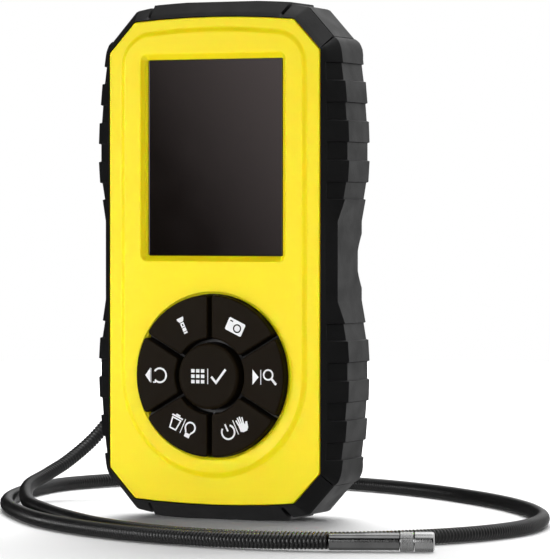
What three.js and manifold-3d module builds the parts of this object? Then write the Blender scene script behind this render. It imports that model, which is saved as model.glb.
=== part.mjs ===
// A handheld inspection camera: a housing with a display and a round seven-key pad, wrapped in a
// ribbed rubber bumper, with a flexible gooseneck that ends in a steel camera head.
// Millimetres. +X is to the right, +Y points from the front to the back, +Z is up.
// The origin is on the surface that the unit stands on, under the middle of its body.
import * as THREE from "three";
import { mergeVertices } from "three/addons/utils/BufferGeometryUtils.js";
import Module from "manifold-3d";

const wasm = await Module();
wasm.setup();

// ---------------------------------------------------------------- driving dimensions
const GAP = 0.3; // clearance between neighbouring pieces

const BODY_HEIGHT = 160; // bumper top to bumper bottom
const MID_Z = BODY_HEIGHT / 2;
const DEPTH_FRONT = 4; // how far the middle key stands in front of the face
const DEPTH_BACK = 36; // face to the back of the housing
const FACE_Y = (DEPTH_FRONT - DEPTH_BACK) / 2; // plane of the face's border

const FACE_HALF_WIDTH = 35.55;
const FACE_HALF_HEIGHT = 75;
const CHAMFER_X = 8.68; // corner chamfer, along the width
const CHAMFER_Z = 9.44; // and along the height
const ARC_RISE = 1.18; // how much the top and bottom edges bow outwards

const COVER_THICK = 2.2;
const WALL_INSET = 1.8; // housing wall, inwards from the face's outline
const WALL_THICK = 1.6;
const SPLIT = 14; // depth at which the front frame meets the rear cover
const PLATEAU_RISE = 0.7; // raised field round the display and the keys
const PLATEAU_HALF_WIDTH = 30.3;
const PLATEAU_TOP = 71;
const PLATEAU_CORNER = 6;

const WINDOW_HALF_WIDTH = 22.85;
const WINDOW_LOW = 1.57; // display opening, above the middle of the body
const WINDOW_HIGH = 62.13;
const WINDOW_BEVEL = 1.65;
const WINDOW_DEPTH = 1.3; // the opening's bevel ends here

const PAD_Z = -35.3; // middle of the key pad, from the middle of the body
const PAD_HOLE_R = 25.25;
const OK_R = 10.2;
const SECTOR_IN = 11.6;
const SECTOR_OUT = 24.95;
const SECTOR_GAP = 1.3; // between two neighbouring keys
const KEY_PROUD = 3;
const KEY_FLANGE = 0.4; // how far a key's flange reaches under the bezel

const BOARD_FRONT = 8.9; // depth of the main board's front
const BOARD_THICK = 1.6;
const SCREWS = [[28.5, 61], [28.5, -12], [28.5, -61]]; // right side, from the middle of the body

const CELL_R = 7.25; // AA cell
const CELL_LENGTH = 50.5;
const CELL_PITCH = 14.8;
const CELL_DEPTH = 25.4;
const CELL_LOW = -3.5;

const CORD_R = 2.25;
const HEAD_R = 2.8;
const SLEEVE_R = 2.5;

// ---------------------------------------------------------------- materials
const finish = (color, roughness, metalness = 0) =>
  new THREE.MeshStandardMaterial({ color, roughness, metalness });
const YELLOW = finish(0xf5dc1e, 0.42);
const RUBBER = finish(0x1d1e1f, 0.75);
const KEY_RUBBER = finish(0x1c1714, 0.6);
const BLACK_PLASTIC = finish(0x151617, 0.5);
const GLASS = finish(0x1d181a, 0.12);
const LCD = finish(0x0c0a0c, 0.3);
const BOARD = finish(0x1f5b35, 0.5);
const CHIP = finish(0x17181a, 0.5);
const CONTACT = finish(0xb9bcc0, 0.3, 1);
const DARK_STEEL = finish(0x4a4b4d, 0.25, 1);
const BRIGHT_STEEL = finish(0xb4b6b8, 0.25, 1);
const CELL = finish(0x3c4a52, 0.35, 0.6);
const NYLON = finish(0x2a2b2d, 0.55);

// ---------------------------------------------------------------- solids
const group = new THREE.Group();

// A three.js geometry as a closed manifold solid.
function solid(geometry) {
  const plain = geometry.index ? geometry.toNonIndexed() : geometry.clone();
  plain.deleteAttribute("normal");
  plain.deleteAttribute("uv");
  const merged = mergeVertices(plain, 1e-4);
  return new wasm.Manifold(new wasm.Mesh({
    numProp: 3,
    vertProperties: merged.attributes.position.array,
    triVerts: new Uint32Array(merged.index.array),
  }));
}

// The solid's mesh as a three.js geometry.
function geometryOf(manifold) {
  const mesh = manifold.getMesh();
  const geometry = new THREE.BufferGeometry();
  geometry.setAttribute("position", new THREE.BufferAttribute(mesh.vertProperties, 3));
  geometry.setIndex(new THREE.BufferAttribute(mesh.triVerts, 1));
  geometry.computeVertexNormals();
  return geometry;
}

function add(name, material, shape) {
  const mesh = new THREE.Mesh(shape.isBufferGeometry ? shape : geometryOf(shape), material);
  mesh.name = name;
  group.add(mesh);
  return mesh;
}

// A shape drawn in x and height (from the middle of the body), from one depth to another.
function slab(shape, front, back, curveSegments = 16) {
  const geometry = new THREE.ExtrudeGeometry(shape, {
    depth: back - front,
    bevelEnabled: false,
    curveSegments,
  });
  geometry.rotateX(Math.PI / 2);
  geometry.translate(0, FACE_Y + back, MID_Z);
  return solid(geometry);
}

// A block between two corners, given as x, depth and height from the middle of the body.
function block([x0, v0, z0], [x1, v1, z1]) {
  const geometry = new THREE.BoxGeometry(x1 - x0, v1 - v0, z1 - z0);
  geometry.translate((x0 + x1) / 2, FACE_Y + (v0 + v1) / 2, MID_Z + (z0 + z1) / 2);
  return solid(geometry);
}

// A round bar along the depth.
function bar(x, z, radius, front, back, segments = 16) {
  const geometry = new THREE.CylinderGeometry(radius, radius, back - front, segments);
  geometry.translate(x, FACE_Y + (front + back) / 2, MID_Z + z);
  return solid(geometry);
}

// A turned piece on an axis along the depth: the profile is a closed list of [radius, depth].
function turned(x, z, profile, segments = 20) {
  const points = profile.map(([radius, depth]) => new THREE.Vector2(radius, depth));
  const geometry = new THREE.LatheGeometry(points, segments);
  geometry.translate(x, FACE_Y, MID_Z + z);
  return upright(geometry);
}

// A lathe profile may run either way round, so the solid is turned right side out here.
function upright(geometry) {
  const made = solid(geometry);
  if (made.volume() > 0) return made;
  const index = geometry.index.array;
  for (let i = 0; i < index.length; i += 3) {
    [index[i + 1], index[i + 2]] = [index[i + 2], index[i + 1]];
  }
  return solid(geometry);
}

const shapeOf = (points) => new THREE.Shape(points.map(([x, z]) => new THREE.Vector2(x, z)));
const circle = (x, z, radius) => {
  const shape = new THREE.Shape();
  shape.absarc(x, z, radius, 0, 2 * Math.PI, false);
  return shape;
};

function roundedBox(x0, z0, x1, z1, radius) {
  const shape = new THREE.Shape();
  shape.moveTo(x0 + radius, z0);
  shape.lineTo(x1 - radius, z0);
  shape.absarc(x1 - radius, z0 + radius, radius, -Math.PI / 2, 0, false);
  shape.lineTo(x1, z1 - radius);
  shape.absarc(x1 - radius, z1 - radius, radius, 0, Math.PI / 2, false);
  shape.lineTo(x0 + radius, z1);
  shape.absarc(x0 + radius, z1 - radius, radius, Math.PI / 2, Math.PI, false);
  shape.lineTo(x0, z0 + radius);
  shape.absarc(x0 + radius, z0 + radius, radius, Math.PI, 1.5 * Math.PI, false);
  return shape;
}

// ---------------------------------------------------------------- the face's outline
const ARC_END = FACE_HALF_WIDTH - CHAMFER_X;
const BOW = ARC_RISE / ARC_END ** 2;
const edgeHeight = (x) => FACE_HALF_HEIGHT - BOW * x * x;
const CHAMFER_TOP = [ARC_END, edgeHeight(ARC_END)];
const CHAMFER_SIDE = [FACE_HALF_WIDTH, edgeHeight(ARC_END) - CHAMFER_Z];

// Anticlockwise from the lower right corner, with a bowed bottom and top.
function faceOutline() {
  const across = [-0.67, -0.33, 0, 0.33, 0.67].map((share) => share * ARC_END);
  const right = [CHAMFER_SIDE, CHAMFER_TOP];
  const top = [...across].reverse().map((x) => [x, edgeHeight(x)]);
  const left = [CHAMFER_TOP, CHAMFER_SIDE].map(([x, z]) => [-x, z]);
  const upper = [...right, ...top, ...left];
  return [...upper, ...upper.map(([x, z]) => [-x, -z])];
}

// The outline moved outwards, or inwards for a negative distance, with mitred corners.
function offsetOutline(distance) {
  const points = faceOutline();
  const normal = (a, b) => {
    const [dx, dz] = [b[0] - a[0], b[1] - a[1]];
    const length = Math.hypot(dx, dz);
    return [dz / length, -dx / length];
  };
  return points.map((point, i) => {
    const before = normal(points.at(i - 1), point);
    const after = normal(point, points[(i + 1) % points.length]);
    const share = distance / (1 + before[0] * after[0] + before[1] * after[1]);
    return point.map((value, axis) => value + (before[axis] + after[axis]) * share);
  });
}

const field = (distance, front, back) => slab(shapeOf(offsetOutline(distance)), front, back);

// ---------------------------------------------------------------- front cover
// The raised field: straight sides, a bowed top, and a round end about the key pad.
function plateauShape() {
  const shape = new THREE.Shape();
  const shoulder = PLATEAU_TOP - ARC_RISE - PLATEAU_CORNER;
  const left = PLATEAU_CORNER - PLATEAU_HALF_WIDTH;
  shape.absarc(0, PAD_Z, PLATEAU_HALF_WIDTH, Math.PI, 2 * Math.PI, false);
  shape.lineTo(PLATEAU_HALF_WIDTH, shoulder);
  shape.absarc(-left, shoulder, PLATEAU_CORNER, 0, Math.PI / 2, false);
  shape.quadraticCurveTo(0, PLATEAU_TOP + ARC_RISE, left, shoulder + PLATEAU_CORNER);
  shape.absarc(left, shoulder, PLATEAU_CORNER, Math.PI / 2, Math.PI, false);
  return shape;
}

// The display opening's funnel, as a four-sided frustum that widens towards the front.
function windowFunnel() {
  const wide = WINDOW_BEVEL * 1.5; // the cutter starts in front of the face
  const front = WINDOW_DEPTH - (WINDOW_DEPTH + PLATEAU_RISE) * 1.5;
  const corners = (grow, depth) => [
    [-WINDOW_HALF_WIDTH - grow, depth, WINDOW_LOW - grow],
    [WINDOW_HALF_WIDTH + grow, depth, WINDOW_LOW - grow],
    [WINDOW_HALF_WIDTH + grow, depth, WINDOW_HIGH + grow],
    [-WINDOW_HALF_WIDTH - grow, depth, WINDOW_HIGH + grow],
  ];
  const points = [...corners(wide, front), ...corners(0, WINDOW_DEPTH)]
    .flatMap(([x, v, z]) => [x, FACE_Y + v, MID_Z + z]);
  const faces = [0, 1, 2, 0, 2, 3, 4, 6, 5, 4, 7, 6];
  for (let i = 0; i < 4; i++) {
    const next = (i + 1) % 4;
    faces.push(i, i + 4, next, next, i + 4, next + 4);
  }
  const geometry = new THREE.BufferGeometry();
  geometry.setAttribute("position", new THREE.Float32BufferAttribute(points, 3));
  geometry.setIndex(faces);
  return upright(geometry);
}

const bothSides = (places) => places.flatMap(([x, z]) => [[x, z], [-x, z]]);
const BOSS_R = 2.8;
// x, depth, x, depth
const PORTS = { usb: [-12.2, 10.2, -3.8, 14.6], card: [2, 10.2, 14.6, 13.6] };

const cutPorts = (shape) => Object.values(PORTS).reduce(
  (left, [x0, v0, x1, v1]) => left.subtract(block([x0, v0, 66], [x1, v1, 80])), shape,
);

function frontCover() {
  let cover = field(0, 0, COVER_THICK);
  cover = cover.add(slab(plateauShape(), -PLATEAU_RISE, COVER_THICK / 2));
  cover = cover.subtract(windowFunnel());
  cover = cover.subtract(block(
    [-WINDOW_HALF_WIDTH, WINDOW_DEPTH - 0.5, WINDOW_LOW],
    [WINDOW_HALF_WIDTH, COVER_THICK + 1, WINDOW_HIGH],
  ));
  cover = cover.subtract(bar(0, PAD_Z, PAD_HOLE_R, -2, COVER_THICK + 1, 48));
  for (const [x, z] of bothSides(SCREWS)) {
    cover = cover.add(bar(x, z, BOSS_R, COVER_THICK / 2, BOARD_FRONT - GAP));
    cover = cover.subtract(bar(x, z, 1.25, COVER_THICK + 1.2, BOARD_FRONT, 12));
  }
  return cover;
}

add("front_cover", YELLOW, frontCover());
add("front_frame", BLACK_PLASTIC, cutPorts(
  field(-WALL_INSET, COVER_THICK + GAP, SPLIT).subtract(field(-WALL_INSET - WALL_THICK, 0, SPLIT + 1)),
));

// ---------------------------------------------------------------- display
const LENS_FRONT = WINDOW_DEPTH + 0.1;
const lens = block(
  [-WINDOW_HALF_WIDTH + GAP, LENS_FRONT, WINDOW_LOW + GAP],
  [WINDOW_HALF_WIDTH - GAP, COVER_THICK + GAP + 0.1, WINDOW_HIGH - GAP],
).add(block([-24.4, COVER_THICK + GAP, -0.3], [24.4, 3.3, 64]));
add("screen_window", GLASS, lens);

const gasket = block([-24.4, 3.6, -0.3], [24.4, 4.4, 64])
  .subtract(block([-22.4, 3, 2], [22.4, 5, 61.7]));
add("screen_gasket", NYLON, gasket);

add("lcd_panel", LCD, block([-24.3, 4.7, -2.6], [24.3, 7.2, 64]));

const holder = block([-25.2, 4.7, -3], [25.2, 8.6, 64.9])
  .subtract(block([-24.6, 4, -3.5], [24.6, 7.5, 64.3]))
  .subtract(block([-18, 7, 8], [18, 9, 54]));
add("lcd_holder", BLACK_PLASTIC, holder);

const flex = block([-8, 5.5, -5.2], [8, 5.8, -2.9])
  .add(block([-8, 5.5, -5.5], [8, 8.6, -5.2]));
add("display_flex", NYLON, flex);

// ---------------------------------------------------------------- key pad
// A sixth of a ring with parallel-sided gaps to its neighbours, pointing along +x.
function sectorShape(inner, outer, gap) {
  const shape = new THREE.Shape();
  const edge = (radius) => Math.PI / 6 - Math.asin(gap / 2 / radius);
  shape.absarc(0, 0, outer, -edge(outer), edge(outer), false);
  shape.absarc(0, 0, inner, edge(inner), -edge(inner), true);
  return shape;
}

// A shape drawn about the key pad's middle, turned there by an angle.
function turnShape(shape, angle) {
  const [cos, sin] = [Math.cos(angle), Math.sin(angle)];
  return shapeOf(shape.extractPoints(5).shape.map(({ x, y }) => [
    x * cos - y * sin, PAD_Z + x * sin + y * cos,
  ]));
}

const KEY_BACK = 3.6; // the flange's front, behind the bezel
const STEM_R = 2;
const SECTOR_MIDDLE = (SECTOR_IN + SECTOR_OUT) / 2;
const SECTOR_KEYS = [
  ["key_next_zoom", 0], ["key_camera", 60], ["key_torch", 120],
  ["key_back_rotate", 180], ["key_delete_light", 240], ["key_power_freeze", 300],
];

function sectorMiddle(degrees) {
  const angle = THREE.MathUtils.degToRad(degrees);
  return [SECTOR_MIDDLE * Math.cos(angle), PAD_Z + SECTOR_MIDDLE * Math.sin(angle)];
}

function sectorKey(degrees) {
  const angle = THREE.MathUtils.degToRad(degrees);
  const top = sectorShape(SECTOR_IN, SECTOR_OUT, SECTOR_GAP);
  const flange = sectorShape(
    SECTOR_IN - KEY_FLANGE, SECTOR_OUT + KEY_FLANGE, SECTOR_GAP - 2 * KEY_FLANGE,
  );
  const [x, z] = sectorMiddle(degrees);
  return slab(turnShape(top, angle), -KEY_PROUD, KEY_BACK + 0.4)
    .add(slab(turnShape(flange, angle), KEY_BACK, KEY_BACK + 0.8))
    .add(bar(x, z, STEM_R, KEY_BACK + 0.4, BOARD_FRONT - 1.7, 12));
}

for (const [name, degrees] of SECTOR_KEYS) add(name, KEY_RUBBER, sectorKey(degrees));
add("key_ok", KEY_RUBBER, turned(0, PAD_Z, [
  [0, -DEPTH_FRONT], [OK_R - 1.2, -DEPTH_FRONT], [OK_R, -DEPTH_FRONT + 0.9], [OK_R, KEY_BACK],
  [OK_R + KEY_FLANGE, KEY_BACK], [OK_R + KEY_FLANGE, KEY_BACK + 0.8], [STEM_R, KEY_BACK + 0.8],
  [STEM_R, BOARD_FRONT - 1.7], [0, BOARD_FRONT - 1.7],
], 36));

// The bezel that the keys pass through: a flange behind the cover, six spokes and a small ring.
function keypadBezel() {
  const flange = slab(circle(0, PAD_Z, 28.4), COVER_THICK + GAP, KEY_BACK - GAP, 24);
  const spokes = slab(circle(0, PAD_Z, PAD_HOLE_R - GAP), 0.6, KEY_BACK - GAP, 24);
  let bezel = flange.add(spokes);
  for (const [, degrees] of SECTOR_KEYS) {
    const hole = sectorShape(SECTOR_IN - GAP, SECTOR_OUT + GAP + 0.2, SECTOR_GAP - 2 * GAP);
    bezel = bezel.subtract(slab(turnShape(hole, THREE.MathUtils.degToRad(degrees)), -1, 5));
  }
  return bezel.subtract(bar(0, PAD_Z, OK_R + GAP, -1, 5, 36));
}

add("keypad_bezel", BLACK_PLASTIC, keypadBezel());

const KEY_PLACES = [["ok", 0, PAD_Z], ...SECTOR_KEYS.map(([name, degrees]) => (
  [name.replace("key_", ""), ...sectorMiddle(degrees)]
))];

let mat = bar(0, PAD_Z, 27.5, 5.5, 6.3, 36);
for (const [, x, z] of KEY_PLACES) mat = mat.subtract(bar(x, z, STEM_R + 0.5, 5, 7, 12));
add("keypad_mat", NYLON, mat);

for (const [name, x, z] of KEY_PLACES) {
  add("snap_dome_" + name, CONTACT, turned(x, z, [
    [0, BOARD_FRONT - 0.8], [1.4, BOARD_FRONT - 0.7], [2.8, BOARD_FRONT - GAP],
    [0, BOARD_FRONT - GAP],
  ], 12));
}

// ---------------------------------------------------------------- main board and what it carries
const BOARD_BACK = BOARD_FRONT + BOARD_THICK;
let board = field(-WALL_INSET - WALL_THICK - 0.5, BOARD_FRONT, BOARD_BACK);
for (const [x, z] of bothSides(SCREWS)) board = board.subtract(bar(x, z, 1.6, 8, 12, 12));
add("main_board", BOARD, board);

const ON_BOARD = BOARD_BACK + GAP;
add("processor_chip", CHIP, block([-7, ON_BOARD, 22], [7, ON_BOARD + 1.2, 36]));
add("memory_chip", CHIP, block([12, ON_BOARD, 24], [20, ON_BOARD + 1, 34]));
add("power_coil", CHIP, block([-22, ON_BOARD, -34], [-15, ON_BOARD + 3, -27]));

const usb = block([-12, ON_BOARD, 67.5], [-4, 13.6, 73])
  .subtract(block([-11.4, 11.3, 68.5], [-4.6, 13.1, 74]));
add("usb_socket", CONTACT, usb);

const cardSlot = block([2.2, ON_BOARD, 58], [14.4, 12.9, 72.8])
  .subtract(block([2.6, 11.2, 58.6], [14, 12.5, 74]));
add("card_slot", CONTACT, cardSlot);
add("memory_card", CHIP, block([2.9, 11.5, 58.9], [13.7, 12.2, 73.2]));

// ---------------------------------------------------------------- rear cover
const REAR_PLATE = 33.4;
const REAR_RIM = 29.5;
const HATCH = { half: 30, low: -9.5, high: 53.5, corner: 3 }; // battery opening
const SCREW_SEAT = REAR_PLATE + 0.5;
const GLAND_Z = -36;
const GLAND_HOLE = 4.6;

// The battery opening, or a smaller shape inside it.
const hatchShape = (inset) => roundedBox(
  inset - HATCH.half, HATCH.low + inset, HATCH.half - inset, HATCH.high - inset, HATCH.corner,
);

// The back plate: a rim behind the bumper's back edge, then two narrower steps.
function rearPlate() {
  const rim = field(-0.6, REAR_RIM, REAR_RIM + 2.2);
  const step = field(-2, REAR_RIM, DEPTH_BACK - 1.8);
  const face = field(-3.1, REAR_PLATE, DEPTH_BACK);
  return rim.add(step).add(face)
    .subtract(field(-WALL_INSET - WALL_THICK, REAR_RIM - 1, REAR_PLATE));
}

function rearCover() {
  let cover = rearPlate();
  const wall = field(-WALL_INSET, SPLIT + GAP, REAR_PLATE)
    .subtract(field(-WALL_INSET - WALL_THICK, SPLIT, REAR_PLATE));
  cover = cover.add(wall);
  cover = cover.subtract(slab(hatchShape(0), REAR_PLATE - 1, DEPTH_BACK + 1, 4));
  for (const [x, z] of bothSides(SCREWS)) {
    const lower = z === SCREWS[1][1] ? 2.4 : BOSS_R; // the middle bosses clear the battery hatch
    cover = cover.add(bar(x, z, lower, BOARD_BACK + GAP, REAR_PLATE + 0.5, 16));
    cover = cover.subtract(bar(x, z, 1.3, 10, DEPTH_BACK + 1, 12));
    cover = cover.subtract(bar(x, z, 2.5, SCREW_SEAT, DEPTH_BACK + 1, 16));
  }
  cover = cover.add(bar(0, GLAND_Z, 9, REAR_PLATE - 3, REAR_PLATE + 1, 24));
  cover = cover.subtract(bar(0, GLAND_Z, GLAND_HOLE, REAR_PLATE - 5, DEPTH_BACK + 1, 24));
  return cover.subtract(block([PORTS.usb[0], SPLIT, 66], [PORTS.usb[2], PORTS.usb[3], 75]));
}

add("rear_cover", BLACK_PLASTIC, rearCover());

bothSides(SCREWS).forEach(([x, z], i) => {
  const screw = turned(x, z, [
    [0, 5], [0.95, 5.6], [0.95, SCREW_SEAT + 0.1], [2.1, SCREW_SEAT + 0.1], [2.1, 35.3],
    [1.6, 35.6], [0, 35.6],
  ], 12);
  const slot = (a, b) => block([x - a, 34.8, z - b], [x + a, 36, z + b]);
  add("rear_screw_" + (i + 1), CONTACT, screw.subtract(slot(1.2, 0.3)).subtract(slot(0.3, 1.2)));
});

// ---------------------------------------------------------------- battery bay
const TRAY_HALF = 29.7;
const CELL_HIGH = CELL_LOW + CELL_LENGTH;
const tray = block(
  [-TRAY_HALF - 1.2, 15, HATCH.low + 1.5], [TRAY_HALF + 1.2, REAR_PLATE - GAP, HATCH.high - 1.5],
).subtract(block([-TRAY_HALF, 16.4, CELL_LOW - 3.2], [TRAY_HALF, DEPTH_BACK, CELL_HIGH + 3.2]));
add("battery_tray", BLACK_PLASTIC, tray);

for (let i = 0; i < 4; i++) {
  const x = (i - 1.5) * CELL_PITCH;
  const nose = i % 2 ? 1 : -1; // neighbouring cells point opposite ways
  const profile = [
    [0, -CELL_LENGTH / 2], [CELL_R - 0.6, -CELL_LENGTH / 2], [CELL_R, 0.8 - CELL_LENGTH / 2],
    [CELL_R, CELL_LENGTH / 2 - 2], [CELL_R - 0.8, CELL_LENGTH / 2 - 1.2], [2.7, CELL_LENGTH / 2 - 1.2],
    [2.7, CELL_LENGTH / 2], [0, CELL_LENGTH / 2],
  ].map(([radius, along]) => new THREE.Vector2(radius, along));
  const geometry = new THREE.LatheGeometry(profile, 20);
  geometry.rotateX(nose > 0 ? Math.PI / 2 : -Math.PI / 2);
  geometry.translate(x, FACE_Y + CELL_DEPTH, MID_Z + (CELL_LOW + CELL_HIGH) / 2);
  add("battery_cell_" + (i + 1), CELL, upright(geometry));
}

// A contact strip is a plate across the four cells with a raised pad for each.
function contactStrip(z, towardsCells) {
  const plate = [z, z + 0.5 * -towardsCells].sort((a, b) => a - b);
  let strip = block([-29, 19, plate[0]], [29, 31, plate[1]]);
  for (let i = 0; i < 4; i++) {
    const x = (i - 1.5) * CELL_PITCH;
    const pad = [z - 0.1 * towardsCells, z + 2 * towardsCells].sort((a, b) => a - b);
    strip = strip.add(block([x - 2.5, CELL_DEPTH - 2.5, pad[0]], [x + 2.5, CELL_DEPTH + 2.5, pad[1]]));
  }
  return strip;
}

add("contact_strip_low", CONTACT, contactStrip(CELL_LOW - 2.4, 1));
add("contact_strip_high", CONTACT, contactStrip(CELL_HIGH + 2.4, -1));

// The battery hatch lies flush in its opening, with a finger notch at its lower edge.
const notch = roundedBox(-8, HATCH.low + 4, 8, HATCH.low + 8, 1.9);
add("battery_cover", BLACK_PLASTIC, slab(hatchShape(GAP), REAR_PLATE + 0.1, DEPTH_BACK, 4)
  .subtract(slab(notch, DEPTH_BACK - 0.9, DEPTH_BACK + 1, 4)));

// ---------------------------------------------------------------- rubber bumper
// The bumper is a ring of cross-sections that follow the face's outline. Each station has a point
// on the outline, the outward direction there, and the point that the bumper's ridge reaches.
const RIDGE_FRONT = 6.5; // depth of the front ridge
const RIDGE_BACK = 23.1;
const RIBS = [[24.2, 30.85], [36.4, 43], [48.5, 55.2]]; // heights above the middle
const WAIST_END = 19; // the waist's own raised field ends here
const CORNER_RIB = 60.5; // and the corner rib begins here
const RIB_RECESS = 0.7;
const WAIST = { end: 12.2, front: 5, back: 24.4, scoop: 4, scoopEnd: 8.4 };
const REACH = [ // how far out the ridge reaches on the side, at heights above the middle
  [12.2, 39.45], [19, 41.3], [24.2, 42.2], [30.5, 42.6], [36.5, 42.6], [43, 42.35], [48.6, 41.9],
  [55, 41.35], [60.6, 40.6], [63.6, 40.2],
];
const PAD_END = 23.5; // half width of the raised pads at the top and bottom
const PAD_FLAT = 12; // half width of their flat middle
const PAD_BACK = 24.6;
const CHAMFER_NORMAL = [0.735, 0.678];

function sideReach(z) {
  if (z <= REACH[0][0]) return REACH[0][1];
  const i = REACH.findIndex(([height]) => height >= z);
  const [[z0, r0], [z1, r1]] = [REACH[i - 1], REACH[i]];
  return THREE.MathUtils.mapLinear(z, z0, z1, r0, r1);
}

function sideStation(z, raised) {
  const share = THREE.MathUtils.clamp((z - WAIST.end) / (WAIST_END - WAIST.end), 0, 1);
  const scoop = WAIST.scoop * Math.cos(Math.min(1, z / WAIST.scoopEnd) * Math.PI / 2);
  return {
    o: [FACE_HALF_WIDTH, z],
    n: [1, 0],
    r: [sideReach(z), z],
    raised,
    front: THREE.MathUtils.lerp(WAIST.front, RIDGE_FRONT, share),
    back: THREE.MathUtils.lerp(WAIST.back - scoop, RIDGE_BACK, share),
  };
}

function padStation(x, raised, drop) {
  return {
    o: [x, edgeHeight(x)],
    n: [2 * BOW * x, 1],
    r: [x, BODY_HEIGHT / 2 - drop - BOW * Math.max(0, x * x - PAD_FLAT ** 2)],
    raised: true,
    front: RIDGE_FRONT,
    back: raised ? PAD_BACK : RIDGE_BACK + 0.5,
  };
}

// The stations of the upper right quarter, from the middle of the side to the middle of the top.
function quarterStations() {
  const step = 0.15; // half the thickness of a rib's end face
  const stations = [0, 4.5, WAIST.scoopEnd, WAIST.end].map((z) => sideStation(z, true));
  stations.push(sideStation(WAIST_END - step, true), sideStation(WAIST_END + step, false));
  for (const [low, high] of RIBS) {
    stations.push(sideStation(low - step, false), sideStation(low + step, true));
    stations.push(sideStation(high - step, true), sideStation(high + step, false));
  }
  stations.push(sideStation(CORNER_RIB - step, false), sideStation(CORNER_RIB + step, true));
  const corner = { raised: true, front: RIDGE_FRONT, back: RIDGE_BACK };
  const [low, high] = [CHAMFER_SIDE, CHAMFER_TOP];
  stations.push(
    { ...corner, o: [FACE_HALF_WIDTH, 63.2], n: [1, 0], r: [sideReach(63.6), 63.6] },
    { ...corner, o: [FACE_HALF_WIDTH, 64], n: [1, 0.15], r: [39.4, 66.5] },
    { ...corner, o: [35.5, 64.35], n: [0.95, 0.3], r: [38.4, 67.9] },
    { ...corner, o: [low[0] - 0.12, low[1] + 0.13], n: CHAMFER_NORMAL, r: [37.25, 68.7] },
    { ...corner, o: [high[0] + 0.12, high[1] - 0.13], n: CHAMFER_NORMAL, r: [29.4, 77.4] },
    { ...corner, o: [high[0] - 0.2, high[1]], n: [0.2, 1], r: [28.5, 77.8] },
  );
  stations.push(padStation(PAD_END + step, false, 0.75), padStation(PAD_END - step, true, 0));
  stations.push(padStation(18, true, 0), padStation(PAD_FLAT, true, 0));
  return stations;
}

// The cross-section at a station, as [x, depth, height] points round the ring's wall.
function section({ o, n, r, raised, front, back }) {
  const at = (from, to, share) => from.map((value, i) => value + (to[i] - value) * share);
  const lip = [o[0] + GAP * n[0], o[1] + GAP * n[1]];
  const inner = [o[0] - 1.5 * n[0], o[1] - 1.5 * n[1]];
  const reach = Math.hypot(r[0] - lip[0], r[1] - lip[1]);
  const ridge = raised ? r : at(r, lip, RIB_RECESS / reach);
  const band = at(lip, r, 0.25);
  const bandIn = raised ? at(band, ridge, 0.05) : at(band, lip, 0.4 / reach);
  const rear = at(lip, r, -0.9 / reach);
  const rearIn = at(rear, ridge, 0.05);
  return [
    [lip, 0.15], [band, 1.6], [bandIn, raised ? 1.85 : 2.1], [ridge, raised ? front : front + 0.3],
    [ridge, back], [rearIn, 28.8], [rear, 29.2], [inner, 29.2], [inner, 2.8], [lip, 2.8],
  ].map(([[x, z], depth]) => [x, FACE_Y + depth, MID_Z + z]);
}

function ring(stations) {
  const rows = stations.map(section);
  const width = rows[0].length;
  const faces = [];
  rows.forEach((_, i) => {
    const next = (i + 1) % rows.length;
    for (let j = 0; j < width; j++) {
      const k = (j + 1) % width;
      const [a, b, c, d] = [i * width + j, i * width + k, next * width + k, next * width + j];
      faces.push(a, b, c, a, c, d);
    }
  });
  const geometry = new THREE.BufferGeometry();
  geometry.setAttribute("position", new THREE.Float32BufferAttribute(rows.flat(2), 3));
  geometry.setIndex(faces);
  return upright(geometry);
}

const mirrorX = (s) => ({ ...s, o: [-s.o[0], s.o[1]], n: [-s.n[0], s.n[1]], r: [-s.r[0], s.r[1]] });
const mirrorZ = (s) => ({ ...s, o: [s.o[0], -s.o[1]], n: [s.n[0], -s.n[1]], r: [s.r[0], -s.r[1]] });
const quarter = quarterStations();
const half = [...quarter, ...quarter.slice(1).reverse().map(mirrorX)];
half.push(mirrorX(quarter[0]));
const whole = [...half, ...half.slice(1, -1).reverse().map(mirrorZ)];
const fullBumper = ring(whole);

const FLAP_FRONT = 7.4;
const FLAP_BACK = 21;
const FLAP_FLOOR = 77.3;
const pocket = block([-PAD_END - 0.1, FLAP_FRONT, FLAP_FLOOR], [PAD_END + 0.1, FLAP_BACK, 82]);
add("bumper", RUBBER, cutPorts(fullBumper.subtract(pocket)));

// The port flap is the top pad's outer layer. It turns up about its back upper edge.
let flap = fullBumper.intersect(block(
  [-PAD_END + 0.2, FLAP_FRONT + GAP, FLAP_FLOOR + GAP], [PAD_END - 0.2, FLAP_BACK - GAP, 82],
));
for (const [x0, v0, x1, v1] of Object.values(PORTS)) {
  flap = flap.add(block([x0 + 0.7, v0 + 0.7, FLAP_FLOOR - 0.9], [x1 - 0.7, v1 - 0.7, FLAP_FLOOR + 1]));
}
add("port_flap", RUBBER, flap);

// ---------------------------------------------------------------- cable gland
const BOOT_FRONT = 39.4;
const BOOT_BACK = 59;
add("gland_nut", BLACK_PLASTIC, bar(0, GLAND_Z, 7.4, 27.2, 30.1, 6)
  .subtract(bar(0, GLAND_Z, 4.3, 26, 31, 24)));
add("cable_gland", BLACK_PLASTIC, turned(0, GLAND_Z, [
  [1.6, 26.3], [4, 26.3], [4, 36.3], [7.2, 36.3], [7.2, 38.4], [6.4, 39.1], [1.6, 39.1], [1.6, 26.3],
], 24));
const bootProfile = [[0, BOOT_FRONT], [4.8, BOOT_FRONT]];
for (let i = 0; i < 5; i++) {
  const depth = BOOT_FRONT + 3 + i * 3;
  const radius = 4.7 - i * 0.3;
  bootProfile.push(
    [radius, depth], [radius - 0.6, depth + 0.5], [radius - 0.6, depth + 1.3],
    [radius - 0.1, depth + 1.8],
  );
}
bootProfile.push([3.1, BOOT_BACK], [0, BOOT_BACK]);
add("strain_relief", RUBBER, turned(0, GLAND_Z, bootProfile, 16));

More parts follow.
